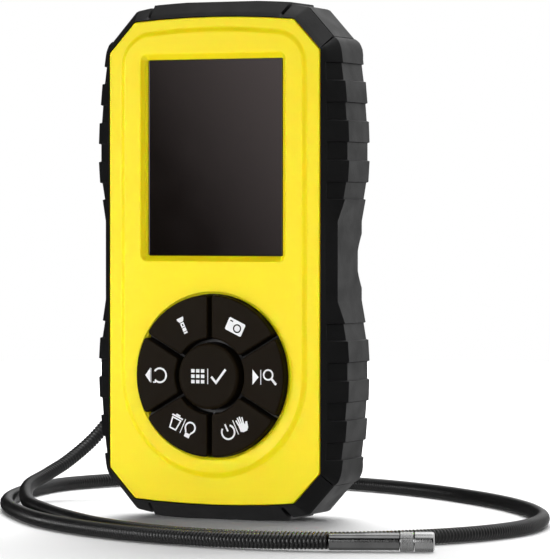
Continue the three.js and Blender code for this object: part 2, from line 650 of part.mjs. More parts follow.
const LEAD = [[26, -36], [23, -36], [19.5, -33.5], [18, -29.5], [16.6, -26.6], [14, -25.5]];
const leadPath = new THREE.CatmullRomCurve3(
  LEAD.map(([v, z]) => new THREE.Vector3(0, FACE_Y + v, MID_Z + z)),
);
add("camera_lead", RUBBER, new THREE.ExtrudeGeometry(circle(0, 0, 0.9), {
  extrudePath: leadPath, steps: 12, curveSegments: 4,
}));
add("lead_connector", BLACK_PLASTIC, block([-4, ON_BOARD, -28], [4, 13.6, -23]));

// ---------------------------------------------------------------- gooseneck and camera head
// The cord leaves the back of the unit, comes down to the floor and lies in one and a half turns
// round the unit, from inside to outside. Its last point is the back end of the camera head.
const ROUTE = [
  [0, 43.2, 44], [0, 50, 44], [-2.5, 59.5, 43.9], [-10.5, 68.5, 43.8], [-22, 74, 43.4],
  [-35.5, 75.2, 42.8], [-50, 72.6, 40.6], [-62.5, 67.2, 36.2], [-71, 61.4, 28.6],
  [-77.6, 54.4, 18.8], [-82.2, 46, 12.4], [-84.6, 36, 8.6], [-83.6, 21, 5.9], [-71, -3.4, 2.9],
  [-53.8, -24.5, 2.3], [-34.3, -46.4, 2.3], [-12, -67.1, 2.3], [15, -82.8, 2.3], [44.5, -88.6, 2.3],
  [73.5, -79.9, 2.3], [94.1, -56.9, 2.3], [103.6, -28, 2.3], [100.5, 2.4, 2.3], [88.1, 30.4, 2.3],
  [70.7, 55.6, 2.3], [49.8, 77.9, 2.3], [26.2, 97.6, 2.3], [-0.2, 113.3, 2.3], [-29.6, 121.9, 2.3],
  [-60.1, 121, 2.3], [-85.9, 106.2, 2.3], [-98, 79.2, 2.3], [-96.6, 49.2, 2.3], [-89, 20, 2.3],
  [-76.1, -8, 2.3], [-58.8, -33.2, 2.3], [-38.6, -56.6, 2.3], [-14.8, -75.8, 2.3],
  [12.7, -89.9, 2.3], [42, -96.6, 2.4], [59.2, -96.7, 2.6], [71.6, -93.95, 2.8],
];
const route = new THREE.CatmullRomCurve3(ROUTE.map((point) => new THREE.Vector3(...point)));
add("gooseneck_cable", RUBBER, new THREE.ExtrudeGeometry(circle(0, 0, CORD_R), {
  extrudePath: route, steps: 80, curveSegments: 4,
}));

const HEAD_START = [71.9, -93.85, 2.8];
const HEAD_DIRECTION = THREE.MathUtils.degToRad(21.5); // from +X, on the floor

// A turned piece of the head: the profile is a list of [radius, distance from the head's back].
function headPiece(profile, segments = 20) {
  const points = profile.map(([radius, along]) => new THREE.Vector2(radius, along));
  const geometry = new THREE.LatheGeometry(points, segments);
  geometry.rotateZ(HEAD_DIRECTION - Math.PI / 2);
  geometry.translate(...HEAD_START);
  return upright(geometry);
}

add("probe_sleeve", DARK_STEEL, headPiece([
  [0, 0], [SLEEVE_R - 0.2, 0], [SLEEVE_R, 0.3], [SLEEVE_R, 19.5], [SLEEVE_R - 0.2, 19.8],
  [1.9, 19.8], [1.9, 16], [0, 16],
]));
add("probe_knurled_ring", BRIGHT_STEEL, headPiece([
  [0, 20.05], [2.5, 20.05], [2.72, 20.25], [2.72, 23.6], [2.5, 23.8], [0, 23.8],
]));
add("probe_front_ring", BRIGHT_STEEL, headPiece([
  [0, 24.05], [2.6, 24.05], [HEAD_R, 24.25], [HEAD_R, 29.3], [2.5, 29.6], [2.1, 29.6],
  [2.1, 28.2], [0, 28.2],
]));
add("probe_lens", GLASS, headPiece([[0, 28.5], [1.8, 28.5], [1.8, 29.2], [1.2, 29.4], [0, 29.4]], 16));

export default group;
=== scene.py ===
"""Looks for a handheld inspection camera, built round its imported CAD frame.

Drawn sizes are millimetres. A place is x to the right, v into the body from the face's border and
z above the middle of the body; at() turns it into the frame's metres.
"""
import math
import bmesh
import bpy
from mathutils import Matrix, Vector
from mathutils.geometry import tessellate_polygon


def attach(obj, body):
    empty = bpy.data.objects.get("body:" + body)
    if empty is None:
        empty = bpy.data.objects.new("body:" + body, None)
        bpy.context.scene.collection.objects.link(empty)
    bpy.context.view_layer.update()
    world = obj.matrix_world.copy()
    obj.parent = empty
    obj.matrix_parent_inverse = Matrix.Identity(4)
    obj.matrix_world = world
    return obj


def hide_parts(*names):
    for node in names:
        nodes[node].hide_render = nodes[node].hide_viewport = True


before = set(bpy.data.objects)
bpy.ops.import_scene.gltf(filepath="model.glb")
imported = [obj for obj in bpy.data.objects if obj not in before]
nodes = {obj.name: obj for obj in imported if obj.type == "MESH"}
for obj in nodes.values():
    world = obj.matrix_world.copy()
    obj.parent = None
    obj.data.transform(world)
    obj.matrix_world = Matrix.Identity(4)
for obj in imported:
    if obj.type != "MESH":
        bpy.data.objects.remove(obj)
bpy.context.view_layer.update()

FACE_Y = -16.0
MID_Z = 80.0


def at(x, v, z):
    return Vector((x, FACE_Y + v, MID_Z + z)) * 0.001


# ------------------------------------------------------------------ camera
AIM = Vector((0.02073, -0.01585, 0.07448))
AZIMUTH, ELEVATION, DISTANCE = math.radians(24.0), math.radians(1.0), 1.0944
back = Vector((
    math.sin(AZIMUTH) * math.cos(ELEVATION),
    -math.cos(AZIMUTH) * math.cos(ELEVATION),
    math.sin(ELEVATION),
))
camera = bpy.data.objects.new("camera", bpy.data.cameras.new("camera"))
bpy.context.scene.collection.objects.link(camera)
camera.location = AIM + back * DISTANCE
camera.rotation_mode = "QUATERNION"
camera.rotation_quaternion = (-back).to_track_quat("-Z", "Y")
camera.data.sensor_width = 36
camera.data.lens = 231
bpy.context.scene.camera = camera


# ------------------------------------------------------------------ materials
def shader(name, color, roughness, metallic=0.0, **sockets):
    """A new material, its node tree and its Principled node, with constant values on the node's sockets."""
    made = bpy.data.materials.new(name)
    made.use_nodes = True
    tree = made.node_tree
    principled = tree.nodes["Principled BSDF"]
    principled.inputs["Base Color"].default_value = (*color, 1)
    principled.inputs["Roughness"].default_value = roughness
    principled.inputs["Metallic"].default_value = metallic
    for socket, value in sockets.items():
        principled.inputs[socket.replace("_", " ")].default_value = value
    return made, tree, principled


def noise(tree, scale, detail, stretch=(1, 1, 1)):
    """Noise in object space, which is the frame's, so it doesn't depend on UVs."""
    place = tree.nodes.new("ShaderNodeTexCoord")
    mapping = tree.nodes.new("ShaderNodeMapping")
    mapping.inputs["Scale"].default_value = stretch
    texture = tree.nodes.new("ShaderNodeTexNoise")
    texture.inputs["Scale"].default_value = scale
    texture.inputs["Detail"].default_value = detail
    tree.links.new(place.outputs["Object"], mapping.inputs["Vector"])
    tree.links.new(mapping.outputs["Vector"], texture.inputs["Vector"])
    return texture.outputs["Fac"]


def spread(tree, factor, low, high, start=0.3, end=0.7):
    """Maps a factor's middle part to a range of numbers."""
    node = tree.nodes.new("ShaderNodeMapRange")
    for socket, value in (("From Min", start), ("From Max", end), ("To Min", low), ("To Max", high)):
        node.inputs[socket].default_value = value
    tree.links.new(factor, node.inputs["Value"])
    return node.outputs["Result"]


def bump(tree, principled, height, distance, strength=1.0):
    node = tree.nodes.new("ShaderNodeBump")
    node.inputs["Distance"].default_value = distance
    node.inputs["Strength"].default_value = strength
    tree.links.new(height, node.inputs["Height"])
    tree.links.new(node.outputs["Normal"], principled.inputs["Normal"])


def blend_color(tree, principled, factor, low, high):
    """Base colour that runs between two colours."""
    ramp = tree.nodes.new("ShaderNodeValToRGB")
    ramp.color_ramp.elements[0].position = 0.3
    ramp.color_ramp.elements[0].color = (*low, 1)
    ramp.color_ramp.elements[1].position = 0.7
    ramp.color_ramp.elements[1].color = (*high, 1)
    tree.links.new(factor, ramp.inputs["Fac"])
    tree.links.new(ramp.outputs["Color"], principled.inputs["Base Color"])


def moulded(name, color, roughness, grain, depth, variation, **sockets):
    """Moulded plastic or rubber: a fine grain, slow colour drift and patchy gloss.

    Grain is the noise's scale per metre, depth is its height in metres, and variation is the
    share by which the colour drifts.
    """
    made, tree, principled = shader(name, color, roughness, **sockets)
    slow = noise(tree, 28, 2)
    low = [c * (1 - variation) for c in color]
    high = [min(1, c * (1 + variation)) for c in color]
    blend_color(tree, principled, slow, low, high)
    gloss = spread(tree, noise(tree, 160, 4), roughness - 0.05, roughness + 0.07)
    tree.links.new(gloss, principled.inputs["Roughness"])
    bump(tree, principled, noise(tree, grain, 2), depth)
    return made


def turned_steel(name, color, roughness, stretch):
    """Steel with fine turning marks across its axis."""
    made, tree, principled = shader(name, color, roughness, 1.0)
    marks = noise(tree, 900, 2, stretch)
    tree.links.new(spread(tree, marks, roughness - 0.04, roughness + 0.1), principled.inputs["Roughness"])
    cloud = noise(tree, 220, 3)
    blend_color(tree, principled, cloud, [c * 0.86 for c in color], [min(1, c * 1.1) for c in color])
    bump(tree, principled, marks, 0.00002, 0.4)
    return made


YELLOW = moulded("yellow_plastic", (0.94, 0.742, 0.0035), 0.4, 2600, 0.000012, 0.015,
                 Subsurface_Weight=0.5, Subsurface_Scale=0.0018, Subsurface_Radius=(1, 0.4, 0.04),
                 Specular_IOR_Level=0.35)
BUMPER_RUBBER = moulded("bumper_rubber", (0.003, 0.003, 0.0033), 0.5, 2200, 0.00005, 0.25,
                        Specular_IOR_Level=0.66)
KEY_RUBBER = moulded("key_rubber", (0.0095, 0.0058, 0.0022), 0.5, 2200, 0.00002, 0.1,
                     Specular_IOR_Level=0.08)
BLACK_PLASTIC = moulded("black_plastic", (0.01, 0.01, 0.011), 0.46, 1300, 0.00004, 0.15,
                        Specular_IOR_Level=0.7)
CORD_RUBBER = moulded("cord_sleeve", (0.008, 0.008, 0.008), 0.33, 900, 0.00002, 0.25,
                      Specular_IOR_Level=1.0)
NYLON = moulded("nylon", (0.03, 0.03, 0.032), 0.55, 1500, 0.00002, 0.1)
CHIP = moulded("chip_resin", (0.012, 0.012, 0.014), 0.5, 2200, 0.00002, 0.1)
PRINT = moulded("white_print", (0.82, 0.82, 0.83), 0.5, 3000, 0.000006, 0.02)
BOARD = moulded("solder_mask", (0.015, 0.09, 0.035), 0.4, 700, 0.00002, 0.2)
CELL_SLEEVE = moulded("cell_sleeve", (0.05, 0.07, 0.09), 0.3, 400, 0.00001, 0.2, Metallic=0.5)
PLATED = turned_steel("plated_contact", (0.62, 0.6, 0.56), 0.28, (1, 1, 1))
DARK_STEEL = turned_steel("dark_steel", (0.37, 0.37, 0.37), 0.14, (6, 0.4, 0.4))
BRIGHT_STEEL = turned_steel("bright_steel", (0.76, 0.76, 0.76), 0.22, (6, 0.4, 0.4))


def dark_glass():
    """The display's window: a hard, smooth, almost black surface with faint smudges."""
    made, tree, principled = shader("display_window", (0.004, 0.0028, 0.0022), 0.05,
                                    Specular_Tint=(1, 0.85, 0.85, 1), Specular_IOR_Level=0.9)
    smudges = noise(tree, 60, 5)
    tree.links.new(spread(tree, smudges, 0.04, 0.08), principled.inputs["Roughness"])
    blend_color(tree, principled, noise(tree, 18, 2), (0.0036, 0.0025, 0.002), (0.0044, 0.0031, 0.0025))
    bump(tree, principled, noise(tree, 35, 2), 0.00002, 0.2)
    return made


GLASS = dark_glass()


# ------------------------------------------------------------------ outlines
CORNER_PIECES = 4


def rounded(points, radii):
    """A closed outline with each corner turned into an arc. A radius of 0 keeps the point."""
    made = []
    for i, point in enumerate(points):
        radius = radii[i]
        here = Vector(point)
        before, after = Vector(points[i - 1]) - here, Vector(points[(i + 1) % len(points)]) - here
        if radius <= 0:
            made.append(tuple(here))
            continue
        before.normalize()
        after.normalize()
        half = before.angle(after) / 2
        reach = radius / math.tan(half)
        centre = here + (before + after).normalized() * (radius / math.sin(half))
        start, end = here + before * reach - centre, here + after * reach - centre
        turn = math.atan2(start.x * end.y - start.y * end.x, start.dot(end))
        for step in range(CORNER_PIECES + 1):
            made.append(tuple(centre + Matrix.Rotation(turn * step / CORNER_PIECES, 2) @ start))
    return made


def offset(points, distance):
    """A closed anticlockwise outline moved outwards, with mitred corners."""
    def normal(a, b):
        edge = Vector(b) - Vector(a)
        return Vector((edge.y, -edge.x)).normalized()

    made = []
    for i, point in enumerate(points):
        before, after = normal(points[i - 1], point), normal(point, points[(i + 1) % len(points)])
        made.append(tuple(Vector(point) + (before + after) * (distance / (1 + before.dot(after)))))
    return made


def arc(x, y, radius, start, end, count):
    """Points of an arc, from one angle to another in degrees."""
    return [
        (x + radius * math.cos(math.radians(start + (end - start) * i / count)),
         y + radius * math.sin(math.radians(start + (end - start) * i / count)))
        for i in range(count + 1)
    ]


FACE_HALF_WIDTH, FACE_HALF_HEIGHT = 35.55, 75
CHAMFER_X, CHAMFER_Z = 8.68, 9.44
FACE_CORNER = 1.4
ARC_END = FACE_HALF_WIDTH - CHAMFER_X
BOW = 1.18 / ARC_END ** 2


def edge_height(x):
    return FACE_HALF_HEIGHT - BOW * x * x


def face_outline(distance=0.0):
    """The face's outline: straight sides, chamfered corners, bowed top and bottom."""
    across = [share * ARC_END for share in (0.67, 0.33, 0, -0.33, -0.67)]
    right = [(FACE_HALF_WIDTH, edge_height(ARC_END) - CHAMFER_Z), (ARC_END, edge_height(ARC_END))]
    top = [(x, edge_height(x)) for x in across]
    upper = right + top + [(-x, z) for x, z in reversed(right)]
    corner = [True] * 2 + [False] * 5 + [True] * 2
    points = offset(upper + [(-x, -z) for x, z in upper], distance)
    return rounded(points, [max(0.2, FACE_CORNER + distance) if c else 0 for c in corner * 2])


PAD_Z = -35.3
PLATEAU_HALF_WIDTH, PLATEAU_CORNER = 30.3, 9.5
PLATEAU_SHOULDER, PLATEAU_BOW = 60.2, 1.1


def plateau_outline(distance):
    """The raised field: straight sides, a bowed top, and a round end about the key pad."""
    half, radius = PLATEAU_HALF_WIDTH + distance, PLATEAU_CORNER + distance
    middle, top = half - radius, PLATEAU_SHOULDER + radius
    points = arc(0, PAD_Z, half, 180, 360, 32) + arc(middle, PLATEAU_SHOULDER, radius, 0, 90, 8)
    for share in (0.6, 0.3, 0, -0.3, -0.6):
        points.append((middle * share, top + PLATEAU_BOW * (1 - share * share)))
    return points + arc(-middle, PLATEAU_SHOULDER, radius, 90, 180, 8)


def box_outline(x, low, high, distance):
    """A box from -x to x and from low to high, with small round corners."""
    x, low, high = x + distance, low - distance, high + distance
    return rounded([(-x, low), (x, low), (x, high), (-x, high)], [max(0.1, 0.4 + distance)] * 4)


def window_outline(distance):
    return box_outline(22.85, 1.57, 62.13, distance)


def circle_outline(radius, x=0.0, z=PAD_Z, count=72):
    """A circle, which is about the key pad's middle unless a place is given."""
    return [
        (x + radius * math.cos(2 * math.pi * i / count), z + radius * math.sin(2 * math.pi * i / count))
        for i in range(count)
    ]


def fillet(radius, steps=5):
    """Steps of a quarter round, as (share inwards, share of the drop still to go)."""
    angles = [math.pi / 2 * i / steps for i in range(steps + 1)]
    return [(radius * (1 - math.cos(a)), radius * (1 - math.sin(a))) for a in angles]


# ------------------------------------------------------------------ meshes
class Surface:
    """A mesh under construction, from closed loops of points that are bridged and filled."""

    def __init__(self):
        self.points, self.faces = [], []

    def loop(self, points):
        first = len(self.points)
        self.points += points
        return list(range(first, len(self.points)))

    def bridge(self, one, two):
        for i in range(len(one)):
            j = (i + 1) % len(one)
            self.faces.append((one[i], one[j], two[j], two[i]))

    def tube(self, loops):
        rings = [self.loop(points) for points in loops]
        for one, two in zip(rings, rings[1:]):
            self.bridge(one, two)
        return rings

    def closed_tube(self, loops):
        """A tube with a flat face at each end."""
        rings = self.tube(loops)
        self.faces += [tuple(rings[0]), tuple(rings[-1])]

    def slope(self, outline, steps):
        """Bridged copies of an outline: steps are (distance, depth) pairs."""
        return self.tube([[at(x, v, z) for x, z in outline(distance)] for distance, v in steps])

    def fill(self, *rings):
        """A flat face inside the first ring and outside the others."""
        loops = [[Vector((self.points[i].x, self.points[i].z, 0)) for i in ring] for ring in rings]
        flat = [i for ring in rings for i in ring]
        self.faces += [tuple(flat[i] for i in triangle) for triangle in tessellate_polygon(loops)]

    def bare(self, name):
        """The surface as an object that faces outwards, with nothing on it yet."""
        mesh = bpy.data.meshes.new(name)
        mesh.from_pydata(self.points, [], self.faces)
        orient(mesh)
        made = bpy.data.objects.new(name, mesh)
        bpy.context.scene.collection.objects.link(made)
        return made

    def piece(self, name, material, body="housing", stands_for=(), slot=None, sharp=32):
        return dress(self.bare(name), material, body, stands_for, sharp)


def dress(made, material, body="housing", stands_for=(), sharp=32):
    """Outward faces, smooth shading with sharp edges, a material and a body to ride on."""
    orient(made.data)
    made.data.materials.clear()
    made.data.materials.append(material)
    made.data.shade_smooth()
    made.data.set_sharp_from_angle(angle=math.radians(sharp))
    even = made.modifiers.new("even_normals", "WEIGHTED_NORMAL")
    even.keep_sharp = True
    even.weight = 80
    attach(made, body)
    if stands_for:
        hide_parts(*stands_for)
    return made


def orient(mesh):
    """Turns a closed mesh's faces outwards."""
    work = bmesh.new()
    work.from_mesh(mesh)
    bmesh.ops.recalc_face_normals(work, faces=work.faces)
    work.to_mesh(mesh)
    work.free()


def box_surface(low, high):
    """A box between its lowest and highest place."""
    surface = Surface()
    corners = [(low[0], low[2]), (high[0], low[2]), (high[0], high[2]), (low[0], high[2])]
    rings = surface.tube([[at(x, v, z) for x, z in corners] for v in (low[1], high[1])])
    surface.faces += [tuple(rings[0]), tuple(reversed(rings[1]))]
    return surface


def carve(made, boxes, operation="DIFFERENCE"):
    """Cuts, joins or keeps boxes, each given as its lowest and highest place."""
    for low, high in boxes:
        tool = box_surface(low, high).bare("tool")
        step = made.modifiers.new("step", "BOOLEAN")
        step.operation, step.object, step.solver = operation, tool, "EXACT"
        bpy.context.view_layer.update()
        graph = bpy.context.evaluated_depsgraph_get()
        result = bpy.data.meshes.new_from_object(made.evaluated_get(graph))
        made.modifiers.clear()
        made.data = result
        bpy.data.objects.remove(tool)


def ring_round(origin, axis, along, radii):
    """A ring of points round an axis, one for each of the radii."""
    turn = Vector(axis).to_track_quat("Z", "Y").to_matrix()
    made = []
    for i, radius in enumerate(radii):
        angle = 2 * math.pi * i / len(radii)
        place = Vector((radius * math.cos(angle), radius * math.sin(angle), along))
        made.append(origin + turn @ place * 0.001)
    return made


def turned(name, material, profile, origin, axis, count=48, **facts):
    """A turned piece: the profile is a list of (radius, distance along the axis), closed at both ends."""
    surface = Surface()
    surface.closed_tube([ring_round(origin, axis, along, [radius] * count) for radius, along in profile])
    return surface.piece(name, material, **facts)


# ------------------------------------------------------------------ gooseneck and camera head
ROUTE = [
    (0, 43.2, 44), (0, 50, 44), (-2.5, 59.5, 43.9), (-10.5, 68.5, 43.8), (-22, 74, 43.4),
    (-35.5, 75.2, 42.8), (-50, 72.6, 40.6), (-62.5, 67.2, 36.2), (-71, 61.4, 28.6),
    (-77.6, 54.4, 18.8), (-82.2, 46, 12.4), (-84.6, 36, 8.6), (-83.6, 21, 5.9), (-71, -3.4, 2.9),
    (-53.8, -24.5, 2.3), (-34.3, -46.4, 2.3), (-12, -67.1, 2.3), (15, -82.8, 2.3),
    (44.5, -88.6, 2.3), (73.5, -79.9, 2.3), (94.1, -56.9, 2.3), (103.6, -28, 2.3),
    (100.5, 2.4, 2.3), (88.1, 30.4, 2.3), (70.7, 55.6, 2.3), (49.8, 77.9, 2.3), (26.2, 97.6, 2.3),
    (-0.2, 113.3, 2.3), (-29.6, 121.9, 2.3), (-60.1, 121, 2.3), (-85.9, 106.2, 2.3),
    (-98, 79.2, 2.3), (-96.6, 49.2, 2.3), (-89, 20, 2.3), (-76.1, -8, 2.3), (-58.8, -33.2, 2.3),
    (-38.6, -56.6, 2.3), (-14.8, -75.8, 2.3), (12.7, -89.9, 2.3), (42, -96.6, 2.4),
    (59.2, -96.7, 2.6), (71.6, -93.95, 2.8),
]
RIB = 1.18
CORD_RADIUS = 2.25
CORD_SIDES = 14


def smooth_route(points, pieces=24):
    """The centripetal Catmull-Rom curve through the route's points, as the CAD draws it."""
    points = [Vector(p) for p in points]
    points = [2 * points[0] - points[1]] + points + [2 * points[-1] - points[-2]]
    made = []
    for p0, p1, p2, p3 in zip(points, points[1:], points[2:], points[3:]):
        d0, d1, d2 = (math.sqrt((b - a).length) for a, b in ((p0, p1), (p1, p2), (p2, p3)))
        t1 = ((p1 - p0) / d0 - (p2 - p0) / (d0 + d1) + (p2 - p1) / d1) * d1
        t2 = ((p2 - p1) / d1 - (p3 - p1) / (d1 + d2) + (p3 - p2) / d2) * d1
        for i in range(pieces):
            t = i / pieces
            a, b = 2 * p1 - 2 * p2 + t1 + t2, -3 * p1 + 3 * p2 - 2 * t1 - t2
            made.append(p1 + t1 * t + b * t * t + a * t * t * t)
    return made + [points[-2]]


def even_steps(points, step):
    """The same line in equal steps."""
    made, carry = [points[0]], 0.0
    for a, b in zip(points, points[1:]):
        length = (b - a).length
        while carry + length >= step:
            a = a.lerp(b, (step - carry) / length)
            length = (b - a).length
            made.append(a.copy())
            carry = 0.0
        carry += length
    return made


def ribbed_cord():
    """The cord's mesh, with four rings to a rib, and the line that it follows."""
    line = even_steps(smooth_route(ROUTE), RIB / 4)
    radii = [CORD_RADIUS - 0.36, CORD_RADIUS - 0.06, CORD_RADIUS, CORD_RADIUS - 0.06]
    side = Vector((0, 0, 1))
    rings = []
    for i, point in enumerate(line):
        ahead = (line[min(i + 1, len(line) - 1)] - line[max(i - 1, 0)]).normalized()
        side = (side - ahead * side.dot(ahead)).normalized()
        across = ahead.cross(side)
        angles = [2 * math.pi * k / CORD_SIDES for k in range(CORD_SIDES)]
        rings.append([
            (point + (side * math.cos(a) + across * math.sin(a)) * radii[i % 4]) * 0.001 for a in angles
        ])
    surface = Surface()
    surface.closed_tube(rings)
    made = surface.piece(
        "ribbed_cord", CORD_RUBBER, stands_for=["gooseneck_cable"], slot="rubber", sharp=80)
    return made, [tuple(p * 0.001) for p in line[::3] + [line[-1]]]


cord, cord_line = ribbed_cord()

HEAD_START = Vector((71.9, -93.85, 2.8)) * 0.001
HEAD_TURN = math.radians(21.5)
HEAD_AXIS = (math.cos(HEAD_TURN), math.sin(HEAD_TURN), 0)


def head_piece(name, material, profile, node, slot, count=48):
    return turned(name, material, profile, HEAD_START, HEAD_AXIS, count, stands_for=[node], slot=slot)


sleeve = head_piece("head_sleeve", DARK_STEEL, [
    (0.5, 0), (2.3, 0), (2.42, 0.06), (2.5, 0.2), (2.5, 19.6), (2.44, 19.76), (2.3, 19.8), (0.5, 19.8),
], "probe_sleeve", "dark_steel")
front_ring = head_piece("head_front_ring", BRIGHT_STEEL, [
    (0.5, 24.0), (2.6, 24.0), (2.74, 24.05), (2.8, 24.2), (2.8, 28.9), (2.72, 29.25), (2.45, 29.5),
    (2.2, 29.6), (2.1, 29.5), (2.1, 28.3), (0.5, 28.3),
], "probe_front_ring", "bright_steel")
head_lens = head_piece("head_lens", GLASS, [
    (0.1, 28.6), (1.85, 28.6), (1.85, 29.1), (1.5, 29.3), (1.0, 29.4), (0.1, 29.4),
], "probe_lens", "screen_glass", 32)


def knurled_ring():
    """A ring with 40 teeth, crossed by nine turned grooves, between two plain edges."""
    profile = [(0.5, 19.92, 0), (2.55, 19.92, 0), (2.7, 20.05, 0)]
    for i in range(9):
        along = 20.3 + 0.38 * i
        profile += [(2.72, along, 0.035), (2.72, along + 0.24, 0.035), (2.64, along + 0.31, 0)]
    profile += [(2.7, 23.8, 0), (2.6, 23.88, 0), (0.5, 23.88, 0)]
    surface = Surface()
    surface.closed_tube([
        ring_round(HEAD_START, HEAD_AXIS, along, [radius + tooth, *[radius - tooth * 0.6] * 2] * 40)
        for radius, along, tooth in profile
    ])
    return surface.piece(
        "head_knurled_ring", BRIGHT_STEEL, stands_for=["probe_knurled_ring"], slot="bright_steel")


knurl = knurled_ring()

GLAND_Z = -36.0
GLAND = at(0, 0, GLAND_Z)
gland = turned("gland_collar", BLACK_PLASTIC, [
    (1.5, 26.3), (4, 26.3), (4, 36.2), (6.9, 36.2), (7.2, 36.5), (7.2, 38.2), (6.9, 38.7),
    (6.3, 39.1), (1.5, 39.1),
], GLAND, (0, 1, 0), stands_for=["cable_gland"], slot="black_plastic")


def boot_profile():
    """A tapered strain relief with five grooves."""
    made = [(0.5, 39.4), (4.5, 39.4), (4.8, 39.7), (4.72, 42.1)]
    for i in range(5):
        depth, radius = 42.4 + 3 * i, 4.7 - 0.3 * i
        made += [(radius, depth - 0.15), (radius - 0.12, depth + 0.05), (radius - 0.62, depth + 0.4),
                 (radius - 0.66, depth + 1.2), (radius - 0.3, depth + 1.6), (radius - 0.18, depth + 1.9)]
    return made + [(3.2, 58.6), (2.95, 58.95), (0.5, 59.0)]


boot = turned("strain_relief_boot", BUMPER_RUBBER, boot_profile(), GLAND, (0, 1, 0),
              stands_for=["strain_relief"], slot="rubber")


# ------------------------------------------------------------------ front cover and display
PLATEAU = -0.7
PAD_HOLE = 25.25
COVER_BACK = 2.2


def front_cover():
    """The yellow cover: its edge, the slope up to the raised field, the window and the key pad's hole."""
    surface = Surface()
    edge = [(0, COVER_BACK), (0, 0.8)] + [(-inwards, drop) for inwards, drop in fillet(0.4)]
    outer = surface.slope(face_outline, edge)
    shares = [i / 8 for i in range(9)]
    rise = [(1.5 - 2.2 * s, PLATEAU * (1 - math.cos(math.pi * s)) / 2) for s in shares]
    plateau = surface.slope(plateau_outline, rise)
    lip = [(2.0, PLATEAU), (1.8, PLATEAU + 0.03), (1.62, PLATEAU + 0.12), (1.5, PLATEAU + 0.26)]
    window = surface.slope(window_outline, lip + [(0.1, 1.2), (0, 1.35), (0, COVER_BACK)])
    mouth = [(0.7 - i, PLATEAU + 0.7 - d) for i, d in reversed(fillet(0.7, 6))]
    hole = surface.slope(lambda d: circle_outline(PAD_HOLE + d), mouth + [(0, COVER_BACK)])
    surface.fill(outer[-1], plateau[0])
    surface.fill(plateau[-1], window[0], hole[0])
    surface.fill(outer[0], window[-1], hole[-1])
    return surface.piece("face_cover", YELLOW, stands_for=["front_cover"], slot="yellow_plastic")


front_cover().visible_diffuse = False  # keeps the shadow in front of it a neutral grey


def display_window():
    """A pane with a soft edge, on a wider shelf that lies behind the cover."""
    surface = Surface()
    edge = [(0, 2.5), (0, 1.5), (-0.05, 1.42), (-0.15, 1.4)]
    pane = surface.slope(lambda d: box_outline(22.55, 1.87, 61.83, d), edge)
    surface.fill(pane[-1])
    shelf = surface.slope(lambda d: box_outline(24.4, -0.3, 64, d), [(0, 2.5), (0, 3.3)])
    surface.fill(shelf[0], pane[0])
    surface.fill(shelf[-1])
    surface.piece("display_window", GLASS, stands_for=["screen_window"], slot="screen_glass")


display_window()


# ------------------------------------------------------------------ keys
SECTOR_IN, SECTOR_OUT, SECTOR_GAP = 11.6, 24.95, 1.3
OK_RADIUS = 10.2
SECTOR_FRONT, OK_FRONT, KEY_FOOT = -3.0, -4.0, 4.4


def sector_outline(degrees, distance):
    """A sixth of a ring with parallel-sided gaps and soft corners, moved outwards by a distance."""
    inner, outer, gap = SECTOR_IN - distance, SECTOR_OUT + distance, SECTOR_GAP - 2 * distance
    inner_edge = math.pi / 6 - math.asin(gap / 2 / inner)
    outer_edge = math.pi / 6 - math.asin(gap / 2 / outer)
    points = []
    for i in range(11):
        a = outer_edge * (i / 5 - 1)
        points.append((outer * math.cos(a), outer * math.sin(a)))
    for i in range(7):
        a = inner_edge * (1 - i / 3)
        points.append((inner * math.cos(a), inner * math.sin(a)))
    radius = 1.0 + distance
    corners = {0: radius, 10: radius, 11: radius, 17: radius}
    made = rounded(points, [corners.get(i, 0) for i in range(18)])
    turn = Matrix.Rotation(math.radians(degrees), 2)
    return [tuple(turn @ Vector(p) + Vector((0, PAD_Z))) for p in made]


def key_edge(front, radius=0.6, drop=0.6):
    """Steps from the side of a key over its soft edge to its top."""
    angles = [math.pi / 2 * i / 6 for i in range(7)]
    return [(0, KEY_FOOT), (0, front + drop + 0.4)] + [
        (-radius * (1 - math.cos(a)), front + drop * (1 - math.sin(a))) for a in angles
    ]


def key_cap(node, outline, edge):
    surface = Surface()
    rings = surface.slope(outline, edge)
    surface.fill(rings[-1])
    surface.fill(rings[0])
    surface.piece(f"{node}_cap", KEY_RUBBER, f"{node}_body", [node], "key_rubber")


SECTOR_KEYS = [
    ("next_zoom", 0), ("camera", 60), ("torch", 120),
    ("back_rotate", 180), ("delete_light", 240), ("power_freeze", 300),
]
for key, degrees in SECTOR_KEYS:
    key_cap(f"key_{key}", lambda d: sector_outline(degrees, d), key_edge(SECTOR_FRONT))
key_cap("key_ok", lambda d: circle_outline(OK_RADIUS + d), key_edge(OK_FRONT, 1.1, 0.9))


# ------------------------------------------------------------------ pictograms
def disc(x, y, radius):
    return circle_outline(radius, x, y, 28)


def stroke(points, width):
    """The outline of an open line of a given width, with mitred bends."""
    line = [Vector(p) for p in points]
    left, right = [], []
    for i, here in enumerate(line):
        before = here - line[i - 1] if i else line[1] - here
        after = line[i + 1] - here if i < len(line) - 1 else before
        before, after = before.normalized(), after.normalized()
        out = Vector((-before.y - after.y, before.x + after.x)).normalized()
        out *= width / 2 / out.dot(Vector((-before.y, before.x)))
        left.append(tuple(here + out))
        right.append(tuple(here - out))
    return [left + right[::-1]]


def band(inner, outer):
    """A ring between two outlines with the same number of points, as quads."""
    count = len(inner)
    return [[inner[i], outer[i], outer[(i + 1) % count], inner[(i + 1) % count]] for i in range(count)]


def bar(x0, y0, x1, y1):
    return [(x0, y0), (x1, y0), (x1, y1), (x0, y1)]


GRID = [bar(x, y, x + 1.15, y + 1.05) for x in (-5.6, -3.95, -2.3) for y in (-2.2, -0.55, 1.1)]
TICK = stroke([(1.2, -0.1), (2.8, -1.9), (6.0, 2.2)], 0.72)
DIVIDER = [bar(-0.14, -2.35, 0.14, 2.35)]


